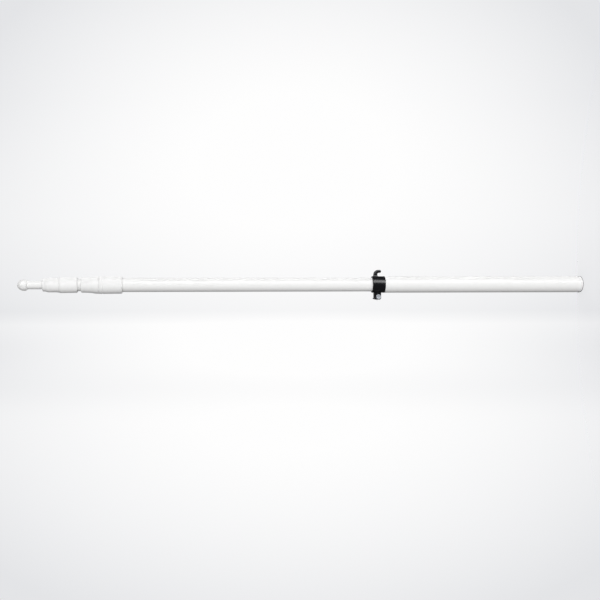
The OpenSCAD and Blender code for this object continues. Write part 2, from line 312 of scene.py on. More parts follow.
    def soften(self, width: float, sharper_than: float = 35, segments: int = 2) -> None:
        """Rounds every edge that is sharper than an angle.

        Args:
            width: Width of the rounding.
            sharper_than: Angle between the edge's faces.
            segments: Number of strips across the rounding.
        """
        self.leave()
        self._only()
        bpy.ops.object.modifier_add(type="BEVEL")
        bevel = self.thing.modifiers[-1]
        bevel.width = width
        bevel.segments = segments
        bevel.limit_method = "ANGLE"
        bevel.angle_limit = math.radians(sharper_than)
        bevel.use_clamp_overlap = False
        bevel.miter_outer = "MITER_ARC"
        bpy.ops.object.modifier_apply(modifier=bevel.name)

    def join(self, how: Join, tool: "Workpiece") -> None:
        """Adds or cuts away another piece, which is used up.

        Args:
            how: Way of joining.
            tool: The other piece.
        """
        tool.leave()
        self.leave()
        self._only()
        bpy.ops.object.modifier_add(type="BOOLEAN")
        step = self.thing.modifiers[-1]
        step.operation = how.value
        step.object = tool.thing
        step.solver = "EXACT"
        bpy.ops.object.modifier_apply(modifier=step.name)
        bpy.data.objects.remove(tool.thing)

    def clean(self) -> None:
        """Melts slivers and needless edges that joining left behind."""
        self.edit()
        bpy.ops.mesh.select_all(action="SELECT")
        bpy.ops.mesh.remove_doubles(threshold=0.02 * MM)
        bpy.ops.mesh.dissolve_limited(angle_limit=math.radians(0.5))
        self.leave()

    def place(self, matrix: Matrix) -> None:
        """Moves the piece from the bench to where it belongs, in its mesh."""
        self.leave()
        self._only()
        self.thing.matrix_world = matrix
        bpy.ops.object.transform_apply(location=True, rotation=True, scale=True)

    def finish(self, dress: "Finish", body: str, *nodes: str, smooth: float = 35) -> None:
        """Smooths the piece, gives it its finish and hands it to its body.

        Args:
            dress: Finish of the whole piece.
            body: Body that the piece rides on.
            nodes: CAD nodes that it stands for.
            smooth: Edges sharper than this angle stay sharp.
        """
        self.leave()
        self._only()
        bpy.ops.object.shade_smooth_by_angle(angle=math.radians(smooth))
        self.thing.data.materials.clear()
        self.thing.data.materials.append(dress.material())
        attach(self.thing, body)
        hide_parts(*nodes)
        LOG.info("%s: %d faces on %s", self.thing.name, len(self.thing.data.polygons), body)


# ---------------------------------------------------------------------------------------------
# Finishes
# ---------------------------------------------------------------------------------------------


class Graph:
    """A material's node tree, built from the surface back to its patterns."""

    def __init__(self, tree: bpy.types.NodeTree) -> None:
        """Clears a tree and gives it its coordinates.

        Args:
            tree: Tree to build in.
        """
        self.tree = tree
        tree.nodes.clear()
        self.place = self.node("ShaderNodeTexCoord").outputs["Object"]

    def node(self, kind: str, **settings: object) -> bpy.types.Node:
        """Adds a node and sets its properties."""
        made = self.tree.nodes.new(kind)
        for key, value in settings.items():
            setattr(made, key, value)
        return made

    def feed(self, socket: Socket, value: object) -> None:
        """Links a socket to another one, or sets it."""
        if isinstance(value, bpy.types.NodeSocket):
            self.tree.links.new(value, socket)
        else:
            socket.default_value = value

    def maths(self, operation: str, *values: object, clamp: bool = False) -> Socket:
        """Adds a step of arithmetic.

        Args:
            operation: Name of the operation.
            values: Its numbers or sockets, in order.
            clamp: Whether the result is kept between 0 and 1.

        Returns:
            The result.
        """
        step = self.node("ShaderNodeMath", operation=operation, use_clamp=clamp)
        for socket, value in zip(step.inputs, values):
            self.feed(socket, value)
        return step.outputs[0]

    def dot(self, way: Socket, axis: Vector) -> Socket:
        """Adds the share of a direction that lies along an axis."""
        step = self.node("ShaderNodeVectorMath", operation="DOT_PRODUCT")
        self.feed(step.inputs[0], way)
        step.inputs[1].default_value = axis
        return step.outputs["Value"]

    def noise(self, size: float, stretch: Sequence[float] = (1, 1, 1), detail: float = 3) -> Socket:
        """Adds smooth noise.

        Args:
            size: Size of one lump.
            stretch: How many times longer a lump is along each axis.
            detail: Number of finer layers.

        Returns:
            The noise, around 0.5.
        """
        mapping = self.node("ShaderNodeMapping")
        self.feed(mapping.inputs["Vector"], self.place)
        mapping.inputs["Scale"].default_value = [1 / (size * s) for s in stretch]
        noise = self.node("ShaderNodeTexNoise")
        self.feed(noise.inputs["Vector"], mapping.outputs[0])
        noise.inputs["Scale"].default_value = 1.0
        noise.inputs["Detail"].default_value = detail
        return noise.outputs["Fac"]

    def spread(self, value: Socket, low: float, high: float,
               to_low: float, to_high: float) -> Socket:
        """Maps one range of a value to another, and holds it at the ends."""
        step = self.node("ShaderNodeMapRange")
        for socket, number in zip(step.inputs, (value, low, high, to_low, to_high)):
            self.feed(socket, number)
        return step.outputs[0]

    def mix(self, share: Socket, first: object, second: object) -> Socket:
        """Mixes two numbers."""
        step = self.node("ShaderNodeMix", data_type="FLOAT")
        for i, value in enumerate((share, first, second)):
            self.feed(step.inputs[(0, 2, 3)[i]], value)
        return step.outputs[0]

    def blend(self, share: Socket, first: object, second: object) -> Socket:
        """Mixes two colours."""
        step = self.node("ShaderNodeMix", data_type="RGBA")
        self.feed(step.inputs[0], share)
        self.feed(step.inputs[6], first)
        self.feed(step.inputs[7], second)
        return step.outputs[2]

    def bump(self, height: Socket, depth: float, under: Optional[Socket] = None) -> Socket:
        """Adds relief to the surface.

        Args:
            height: Pattern from 0 to 1.
            depth: Depth of the pattern.
            under: Relief that this one lies on.

        Returns:
            The bent normal.
        """
        step = self.node("ShaderNodeBump")
        step.inputs["Strength"].default_value = 1.0
        step.inputs["Distance"].default_value = depth
        self.feed(step.inputs["Height"], height)
        if under is not None:
            self.feed(step.inputs["Normal"], under)
        return step.outputs[0]


@dataclass(frozen=True)
class Finish:
    """A surface: its colour, how it drifts from place to place, its gloss, grain and wear."""

    name: str
    slot: str
    colour: Colour
    roughness: float
    metallic: float = 0.0
    specular: float = 0.5
    drift: float = 0.012  # share by which the colour goes up and down
    drift_size: float = 0.09
    gloss_drift: float = 0.05
    grain_size: float = 0.9 * MM
    grain_depth: float = 0.012 * MM
    worn: Colour = (0.7, 0.7, 0.69)
    wear: float = 0.35  # how strongly the worn colour shows at edges

    def material(self) -> bpy.types.Material:
        """Builds the material, or finds it where it was built before."""
        found = bpy.data.materials.get(self.name)
        if found:
            return found
        made = bpy.data.materials.new(self.name)
        made.use_nodes = True
        graph = Graph(made.node_tree)
        shader = graph.node("ShaderNodeBsdfPrincipled")
        shader.inputs["Metallic"].default_value = self.metallic
        shader.inputs["Specular IOR Level"].default_value = self.specular
        graph.feed(shader.inputs["Base Color"], self.tint(graph))
        graph.feed(shader.inputs["Roughness"], self.gloss(graph))
        graph.feed(shader.inputs["Normal"], self.relief(graph))
        output = graph.node("ShaderNodeOutputMaterial")
        graph.feed(output.inputs["Surface"], shader.outputs[0])
        return made

    def shade(self, factor: float) -> tuple[float, float, float, float]:
        """Gives the base colour times a factor, kept under 1."""
        return (*(min(c * factor, 1.0) for c in self.colour), 1.0)

    def tint(self, graph: Graph) -> Socket:
        """Lays the drifting colour and the worn edges.

        Args:
            graph: Tree to build in.

        Returns:
            The colour.
        """
        drift = graph.spread(graph.noise(self.drift_size, (1, 1, 2)), 0.3, 0.7, 0, 1)
        base = graph.blend(drift, self.shade(1 - self.drift), self.shade(1 + self.drift))
        return graph.blend(self.edges(graph), base, (*self.worn, 1.0))

    def edges(self, graph: Graph) -> Socket:
        """Finds the exposed edges, broken up so that they look rubbed and not drawn."""
        sharp = graph.spread(graph.node("ShaderNodeNewGeometry").outputs["Pointiness"],
                             0.53, 0.6, 0, self.wear)
        return graph.maths("MULTIPLY", sharp, graph.spread(graph.noise(3 * MM), 0.4, 0.6, 0, 1))

    def gloss(self, graph: Graph) -> Socket:
        """Lays the roughness, with duller and shinier patches."""
        patches = graph.noise(0.5 * self.drift_size, (1, 1, 3), 5)
        return graph.spread(patches, 0.3, 0.7, self.roughness - self.gloss_drift,
                            self.roughness + self.gloss_drift)

    def relief(self, graph: Graph) -> Socket:
        """Lays the fine grain of the surface."""
        return graph.bump(graph.noise(self.grain_size), self.grain_depth)


@dataclass(frozen=True)
class SlidPaint(Finish):
    """Gloss powder coat on a tube: a soft orange peel, and long fine rubs from sliding."""

    peel_size: float = 5 * MM
    peel_depth: float = 0.02 * MM
    rub: float = 0.028  # share by which a rub darkens the paint
    rub_gloss: float = 0.08

    def rubs(self, graph: Graph) -> Socket:
        """Finds the rubs, which are thin, run along the pole and come in patches."""
        lines = graph.spread(graph.noise(0.7 * MM, (1, 1, 260), 2), 0.6, 0.68, 0, 1)
        patches = graph.spread(graph.noise(0.06, (1, 1, 3), 2), 0.46, 0.62, 0, 1)
        return graph.maths("MULTIPLY", lines, patches)

    def tint(self, graph: Graph) -> Socket:
        """Lays the paint, and the rubs over it."""
        share = graph.maths("MULTIPLY", self.rubs(graph), self.rub)
        return graph.blend(share, super().tint(graph), (0.25, 0.25, 0.26, 1.0))

    def gloss(self, graph: Graph) -> Socket:
        """Lays the gloss, duller in the rubs."""
        dull = graph.maths("MULTIPLY", self.rubs(graph), self.rub_gloss)
        return graph.maths("ADD", super().gloss(graph), dull)

    def relief(self, graph: Graph) -> Socket:
        """Lays the fine grain on the orange peel."""
        peel = graph.bump(graph.noise(self.peel_size, (1, 1, 1.3), 1), self.peel_depth)
        return graph.bump(graph.noise(self.grain_size), self.grain_depth, peel)


@dataclass(frozen=True)
class GripPlastic(Finish):
    """Matte moulded plastic: a spark-eroded grain, with handling marks that grey it slightly."""

    soil: float = 0.05
    spark_size: float = 0.45 * MM
    spark_depth: float = 0.03 * MM

    def tint(self, graph: Graph) -> Socket:
        """Lays the plastic, and the handling marks over it."""
        marks = graph.spread(graph.noise(7 * MM, (1, 1, 1.5), 6), 0.5, 0.75, 0, self.soil)
        return graph.blend(marks, super().tint(graph), (0.42, 0.41, 0.39, 1.0))

    def relief(self, graph: Graph) -> Socket:
        """Lays the spark grain on softer lumps."""
        soft = graph.bump(graph.noise(self.grain_size), self.grain_depth)
        return graph.bump(graph.noise(self.spark_size, detail=1), self.spark_depth, soft)


@dataclass(frozen=True)
class ZincPlate(Finish):
    """Passivated zinc on steel: spangled blue-grey, with a faint brown bloom."""

    bloom: Colour = (0.2, 0.14, 0.09)

    def tint(self, graph: Graph) -> Socket:
        """Lays the plating, cell by cell, and the bloom over it."""
        cells = graph.node("ShaderNodeTexVoronoi")
        graph.feed(cells.inputs["Vector"], graph.place)
        cells.inputs["Scale"].default_value = 1 / (1.6 * MM)
        spangle = graph.spread(cells.outputs["Distance"], 0, 0.8, 0, 1)
        plate = graph.blend(spangle, self.shade(1.1), self.shade(0.84))
        bloom = graph.spread(graph.noise(4 * MM, detail=5), 0.58, 0.78, 0, 0.55)
        return graph.blend(bloom, plate, (*self.bloom, 1.0))


class Finishes:
    """Every finish on the pole."""

    paint = SlidPaint(
        "white_powder_coat", "tube_paint", (0.835, 0.835, 0.83), roughness=0.4, specular=0.2)
    grip = GripPlastic(
        "matte_white_plastic", "lock_plastic", (0.825, 0.825, 0.823), roughness=0.68,
        specular=0.12, drift=0.015, drift_size=0.05)
    knob = GripPlastic(
        "satin_white_knob", "knob", (0.82, 0.82, 0.815), roughness=0.4, specular=0.3,
        drift_size=0.03, spark_depth=0.006 * MM, soil=0.07)
    cap = GripPlastic(
        "satin_white_cap", "white_fitting", (0.83, 0.83, 0.825), roughness=0.42, specular=0.3,
        drift_size=0.04, spark_depth=0.01 * MM, soil=0.09)
    black = Finish(
        "satin_black_plastic", "black_fitting", (0.006, 0.006, 0.0075), roughness=0.24,
        drift=0.12, drift_size=0.02, gloss_drift=0.06, grain_size=0.5 * MM,
        grain_depth=0.01 * MM, worn=(0.06, 0.06, 0.062), wear=0.6)
    bush = GripPlastic(
        "dark_bush_plastic", "bush", (0.05, 0.05, 0.052), roughness=0.55, drift=0.08,
        drift_size=0.02, worn=(0.12, 0.12, 0.12))
    zinc = ZincPlate(
        "zinc_plated_steel", "zinc", (0.47, 0.5, 0.54), roughness=0.5, metallic=0.5,
        gloss_drift=0.08, grain_size=0.4 * MM, worn=(0.68, 0.69, 0.7), wear=0.5)
    # the bolt's zinc, darker and a little rougher and less metallic, on both washers
    darker_zinc = ZincPlate(
        "darker_zinc_steel", "zinc", (0.2, 0.21, 0.23), roughness=0.55, metallic=0.4,
        gloss_drift=0.08, grain_size=0.4 * MM, worn=(0.5, 0.51, 0.52), wear=0.3)


# ---------------------------------------------------------------------------------------------
# Sub-assemblies
# ---------------------------------------------------------------------------------------------


@dataclass
class Tube:
    """One painted aluminium tube, with its sawn ends rounded."""

    node: str
    body: str
    wall: float
    rim: float = 0.45 * MM  # rounding of each edge

    def build(self) -> None:
        """Turns the tube and dresses it."""
        span = Span.of(self.node)
        outer, inner = span.radius, span.radius - self.wall
        edge = self.rim
        outline = (
            arc(inner + edge, span.low + edge, edge, 180, 270, 3)
            + arc(outer - edge, span.low + edge, edge, 270, 360, 3)
            + arc(outer - edge, span.high - edge, edge, 0, 90, 3)
            + arc(inner + edge, span.high - edge, edge, 90, 180, 3))
        piece = Workpiece.turned(f"{self.node}_skin", outline)
        piece.finish(Finishes.paint, self.body, self.node)


@dataclass
class EndCap:
    """Flanged plug in the foot of the base tube."""

    edge: float = 5.6 * MM  # rounding of the flange
    flange: float = 6 * MM
    play: float = 0.1 * MM  # between the plug and the tube
    plug_wall: float = 3 * MM
    groove_r: float = 17 * MM  # moulded ring on the underside
    groove_w: float = 1.4 * MM
    groove_d: float = 0.5 * MM
    gate_r: float = 2.2 * MM  # shallow dish where the moulding was fed

    def build(self, bore: float) -> None:
        """Turns the cap and dresses it.

        Args:
            bore: Radius of the tube's bore.
        """
        span = Span.of("base_end_cap")
        plug = bore - self.play
        hollow = plug - self.plug_wall
        groove = [
            (self.groove_r + side * self.groove_w / 2, deep * self.groove_d)
            for side, deep in ((-1, 0), (-0.6, 1), (0.6, 1), (1, 0))]
        outline = (
            [(0, 0.4 * MM), (0.6 * self.gate_r, 0.32 * MM), (self.gate_r, 0)] + groove
            + arc(span.radius - self.edge, self.edge, self.edge, -90, 0, 8)
            + [(span.radius, self.flange - 0.25 * MM), (span.radius - 0.25 * MM, self.flange)]
            + [(plug, self.flange), (plug, span.high - LEAD), (plug - LEAD, span.high)]
            + [(hollow, span.high), (hollow, self.flange), (0, self.flange)])
        piece = Workpiece.turned("base_end_cap_moulding", outline)
        piece.finish(Finishes.cap, "base", "base_end_cap")


@dataclass
class BoltLine:
    """Axis of the clamp bolt, with the faces that its pieces seat on."""

    x: float
    z: float
    ear_face: float  # outer face of an ear, from the pole's middle plane
    nut_face: float  # outer face of a washer

    @classmethod
    def measured(cls) -> "BoltLine":
        """Takes the axis and the faces from the frame."""
        low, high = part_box("clamp_bolt")
        seat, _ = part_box("nut_washer")
        foot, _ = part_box("wing_nut")
        return cls((low[0] + high[0]) / 2, (low[2] + high[2]) / 2, seat[1], foot[1])

    def seat(self, y: float, side: int) -> Matrix:
        """Gives the matrix that stands a piece on the bolt's axis.

        Args:
            y: Where the piece's foot goes.
            side: 1 for a piece that points to +Y, -1 for one that points to -Y.

        Returns:
            The matrix, which turns the piece's own Z axis to that side.
        """
        turn = Matrix.Rotation(math.radians(-90 * side), 4, "X")
        return Matrix.Translation((self.x, y, self.z)) @ turn


@dataclass
class ClampRing:
    """Split ring on the base tube's rim: a band between two beads, ears and a flat for the hook."""

    spigot: float = 30 * MM
    bore_play: float = 0.15 * MM
    spigot_play: float = 0.1 * MM
    band_out: float = 0.45 * MM  # band outside the CAD's
    low_out: float = 0.8 * MM
    high_out: float = 0.55 * MM
    low_bead: float = 3.6 * MM
    high_bead: float = 4.8 * MM
    slit: float = 3 * MM
    slit_floor: float = 4 * MM
    ear_top: float = 7 * MM  # below the top of the ring
    ear_height: float = 21 * MM
    ear_corner: float = 6 * MM
    bolt_hole: float = 4.25 * MM
    pad_half: float = 7 * MM
    pad_height: float = 16 * MM
    soft: float = 0.4 * MM

    def outline(self, foot: float, top: float, radius: float,
                bore: float, spigot: float) -> Outline:
        """Draws the ring's section.

        Args:
            foot: Height of the tube's rim.
            top: Top of the ring.
            radius: Outside of the ring.
            bore: Radius of its bore.
            spigot: Radius of its spigot.

        Returns:
            The closed outline.
        """
        band = radius + self.band_out
        low_r, high_r = radius + self.low_out, radius + self.high_out
        low, high = self.low_bead, self.high_bead
        return (
            [(bore, foot - self.spigot), (spigot - LEAD, foot - self.spigot)]
            + [(spigot, foot - self.spigot + LEAD), (spigot, foot)]
            + arc(low_r - low / 2, foot + low / 2, low / 2, -90, 50, 9)
            + [(band, foot + low + 0.2 * MM), (band, top - high - 0.2 * MM)]
            + arc(high_r - high / 2, top - high / 2, high / 2, -35, 90, 8)
            + [(bore + LEAD, top), (bore, top - LEAD)])

    def build(self, line: BoltLine, base_bore: float, guided: float) -> None:
        """Turns the ring, adds its ears and flat, cuts its slit and bolt hole, and dresses it.

        Args:
            line: Axis of the clamp bolt.
            base_bore: Radius of the base tube's bore.
            guided: Radius of the tube that slides in the ring.
        """
        low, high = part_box("clamp_ring")
        hook_low, hook_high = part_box("halyard_hook")
        foot, top, radius = low[2] + self.spigot, high[2], round(high[1], 4)
        bore = guided + self.bore_play
        piece = Workpiece.turned("clamp_ring_moulding", self.outline(
            foot, top, radius, bore, base_bore - self.spigot_play))
        in_wall = (radius + bore) / 2 - 0.3 * MM
        ear_high = top - self.ear_top
        ear_low = ear_high - self.ear_height
        ears = Workpiece.block("ears", (low[0], -line.ear_face, ear_low),
                               (-in_wall, line.ear_face, ear_high))
        ears.edit()
        ears.pick(Pick.EDGES, lambda at, way: abs(way.y) > 0.9 and at.x < low[0] + MM)
        bpy.ops.mesh.bevel(offset=self.ear_corner, segments=10, affect="EDGES")
        piece.join(Join.ADD, ears)
        stalk = hook_high[2] - (hook_high[1] - hook_low[1]) / 2
        flat = Workpiece.block(
            "flat", (in_wall, -self.pad_half, stalk - self.pad_height / 2),
            (hook_low[0], self.pad_half, stalk + self.pad_height / 2))
        flat.edit()
        flat.pick(Pick.EDGES, lambda at, way: abs(way.x) > 0.9)
        bpy.ops.mesh.bevel(offset=2 * MM, segments=6, affect="EDGES")
        piece.join(Join.ADD, flat)
        cut = Workpiece.block("slit", (2 * low[0], -self.slit / 2, foot + self.slit_floor),
                              (0, self.slit / 2, 2 * top))
        piece.join(Join.CUT, cut)
        hole = Workpiece.prism("hole", SMALL, self.bolt_hole, -2 * line.ear_face, 2 * line.ear_face)
        hole.place(line.seat(0, 1))
        piece.join(Join.CUT, hole)
        piece.clean()
        piece.soften(self.soft, sharper_than=40)
        piece.finish(Finishes.black, "base", "clamp_ring")


@dataclass
class HalyardHook:
    """Open hook that the halyard is belayed on. It leaves the ring and turns down the pole."""

    foot_flare: tuple = ((0.0, 1.12), (1.2, 1.08), (2.4, 1.02))  # millimetres out, share of width
    stalk: float = 4.7 * MM
    bend: float = 9.6 * MM
    end: float = 3.7 * MM
    width: float = 12.0 * MM
    tip: float = 0.735  # tip's width over the stalk's
    steps: int = 18
    squareness: float = 0.36  # corner radius over the width

    def stations(self, x: float, z: float) -> list[tuple[Vector, float, float]]:
        """Lists the sections from the foot to the tip.

        Args:
            x: Where the hook leaves the ring's flat.
            z: Height of its stalk.

        Returns:
            For each section its middle, its turn from +X downwards and its width.
        """
        made = [(Vector((x + out * MM, 0, z)), 0.0, self.width * share)
                for out, share in self.foot_flare]
        centre_x, centre_z = x + self.stalk, z - self.bend
        for i in range(self.steps + 1):
            turn = 90 * i / self.steps
            way = math.radians(turn)
            at = Vector((centre_x + self.bend * math.sin(way), 0,
                         centre_z + self.bend * math.cos(way)))
            slimmed = (i / self.steps) ** 1.5
            made.append((at, turn, self.width * (1 + (self.tip - 1) * slimmed)))
        tip_x, tip_z = centre_x + self.bend, centre_z - self.end
        round_off = self.width * self.tip / 2
        for angle in (0, 15, 30, 45, 60, 73, 83):
            way = math.radians(angle)
            at = Vector((tip_x, 0, tip_z - round_off * math.sin(way)))
            made.append((at, 90.0, 2 * round_off * math.cos(way)))
        return made

    def build(self) -> None:
        """Draws the hook out of a rounded square, section by section, and dresses it."""
        low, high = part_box("halyard_hook")
        z = high[2] - (high[1] - low[1]) / 2
        stations = self.stations(low[0], z)
        at, turn, width = stations[0]
        bpy.ops.mesh.primitive_plane_add(size=width, location=at, rotation=(0, math.pi / 2, 0))
        piece = Workpiece(bpy.context.object, "halyard_hook_moulding")
        piece.edit()
        bpy.ops.mesh.select_all(action="SELECT")
        bpy.ops.mesh.bevel(offset=width * self.squareness, segments=7, affect="VERTICES")
        bpy.ops.mesh.select_all(action="SELECT")
        for (old, old_turn, old_width), (new, new_turn, new_width) in zip(stations, stations[1:]):
            bpy.ops.mesh.extrude_region_move(TRANSFORM_OT_translate={"value": new - old})
            bpy.ops.transform.rotate(value=math.radians(old_turn - new_turn), orient_axis="Y",
                                     center_override=new)
            bpy.ops.transform.resize(value=[new_width / old_width] * 3, center_override=new)
        bpy.ops.mesh.select_all(action="SELECT")
        bpy.ops.mesh.normals_make_consistent(inside=False)
        piece.finish(Finishes.black, "base", "halyard_hook", smooth=50)


@dataclass
class ClampBolt:
    """Hexagon bolt with its two washers and its wing nut."""

    bolt_r: float = 4 * MM
    flats: float = 13 * MM
    head: float = 5.3 * MM
    chamfer: float = 0.57  # drop of the head's chamfer over its reach
    dish_r: float = 4.2 * MM  # shallow dish stamped in the head
    dish_d: float = 0.5 * MM
    pitch: float = 1.25 * MM
    thread_d: float = 0.6 * MM
    thread_turns: int = 12
    washer_r: float = 8 * MM
    washer_hole: float = 4.25 * MM
    hub_h: float = 9 * MM
    hub_r: float = 7 * MM
    hub_taper: float = 1.5 * MM
    wing_reach: float = 12.8 * MM
    wing_lobe: float = 4.6 * MM
    wing_t: float = 4 * MM
    wing_turn: float = 24.0  # of the wings, from straight out from the pole

    def bolt(self, line: BoltLine) -> None:
        """Turns the shank with its thread, makes the head and dresses both."""
        _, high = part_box("clamp_bolt")
        length = high[1] + line.nut_face
        start = length - self.thread_turns * self.pitch
        crests = [
            (self.bolt_r - (self.thread_d if half else 0), start + (i + half / 2) * self.pitch)
            for i in range(self.thread_turns) for half in (0, 1)]
        shank = Workpiece.turned("clamp_bolt_steel", (
            [(0, -0.5 * MM), (self.bolt_r, -0.5 * MM)] + crests
            + [(self.bolt_r - self.thread_d, length - 0.3 * MM), (self.bolt_r - 0.9 * MM, length)]
            + [(0, length)]), SMALL)
        shank.place(line.seat(-line.nut_face, 1))
        corner = self.flats / 2 / math.cos(math.radians(30))
        head = Workpiece.prism("head", 6, corner, 0, self.head + MM)  # the chamfer trims its top
        face = self.flats / 2 - 0.2 * MM
        foot = self.head - (2 * corner - face) * self.chamfer
        shape = Workpiece.turned("chamfer", (
            [(0, -MM), (2 * corner, -MM), (2 * corner, foot)]
            + [(face, self.head), (self.dish_r, self.head)]
            + [(self.dish_r - 0.7 * MM, self.head - self.dish_d), (0, self.head - self.dish_d)]),
            SMALL)
        head.join(Join.KEEP_COMMON, shape)
        head.soften(0.18 * MM, sharper_than=25)
        head.place(line.seat(-line.nut_face, -1))
        shank.join(Join.ADD, head)
        shank.finish(Finishes.zinc, "base", "clamp_bolt", smooth=30)

    def washer(self, node: str, line: BoltLine) -> None:
        """Turns one washer, with one face rounded off by its punch, and dresses it."""
        low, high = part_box(node)
        thick = high[1] - low[1]
        edge = 0.35 * MM
        piece = Workpiece.turned(f"{node}_steel", (
            [(self.washer_hole, 0.15 * MM), (self.washer_hole + 0.15 * MM, 0)]
            + [(self.washer_r - 0.1 * MM, 0), (self.washer_r, 0.1 * MM)]
            + arc(self.washer_r - edge, thick - edge, edge, 0, 90, 4)
            + [(self.washer_hole + edge, thick), (self.washer_hole, thick - edge)]), SMALL)
        outward = 1 if high[1] > 0 else -1
        piece.place(line.seat(low[1] if outward > 0 else high[1], outward))
        piece.finish(Finishes.darker_zinc, "base", node, smooth=50)

    def wing(self, side: float) -> Workpiece:
        """Makes one wing: a round lobe on a tapering web."""
        edge = 1.5 * MM
        tip_x, tip_z = self.wing_reach - self.wing_lobe, self.hub_h + edge
        lobe = Workpiece.prism("lobe", SMALL, self.wing_lobe, -self.wing_t / 2, self.wing_t / 2)
        lobe.place(Matrix.Translation((tip_x, 0, tip_z)) @ Matrix.Rotation(math.pi / 2, 4, "X"))
        web = Workpiece.block("web", (self.hub_r - 2 * edge, -self.wing_t / 2, edge),
                              (tip_x + 0.6 * MM, self.wing_t / 2, tip_z + self.wing_lobe * 0.6))
        web.edit()
        web.pick(Pick.VERTS, lambda at, _: at.x < self.hub_r and at.z > self.hub_h / 2)
        bpy.ops.transform.translate(value=(0, 0, self.hub_h - edge - tip_z - self.wing_lobe * 0.6))
        web.pick(Pick.VERTS, lambda at, _: at.x > self.hub_r and at.z < self.hub_h / 2)
        bpy.ops.transform.translate(value=(1.6 * MM, 0, tip_z - self.wing_lobe * 0.72 - edge))
        lobe.join(Join.ADD, web)
        lobe.place(Matrix.Rotation(math.radians(side), 4, "Z"))
        return lobe

    def wing_nut(self, line: BoltLine) -> None:
        """Turns the hub, adds its wings, rounds it as cast and dresses it."""
        edge = 0.5 * MM
        bore = self.bolt_r + 0.05 * MM
        top = self.hub_r - self.hub_taper
        piece = Workpiece.turned("wing_nut_casting", (
            [(bore + edge, 0), (self.hub_r, 0), (top, self.hub_h), (bore + edge, self.hub_h)]
            + [(bore, self.hub_h - edge), (bore, edge)]), SMALL)
        for side in (0, 180):
            piece.join(Join.ADD, self.wing(side))
        piece.clean()
        piece.soften(0.55 * MM, sharper_than=32, segments=3)
        turned = Matrix.Rotation(math.radians(90 - self.wing_turn), 4, "Z")
        piece.place(line.seat(line.nut_face, 1) @ turned)
        piece.finish(Finishes.zinc, "clamp_wing_nut", "wing_nut", smooth=40)

    def build(self, line: BoltLine) -> None:
        """Builds every piece on the bolt's axis."""
        self.bolt(line)
        self.washer("bolt_washer", line)
        self.washer("nut_washer", line)
        self.wing_nut(line)


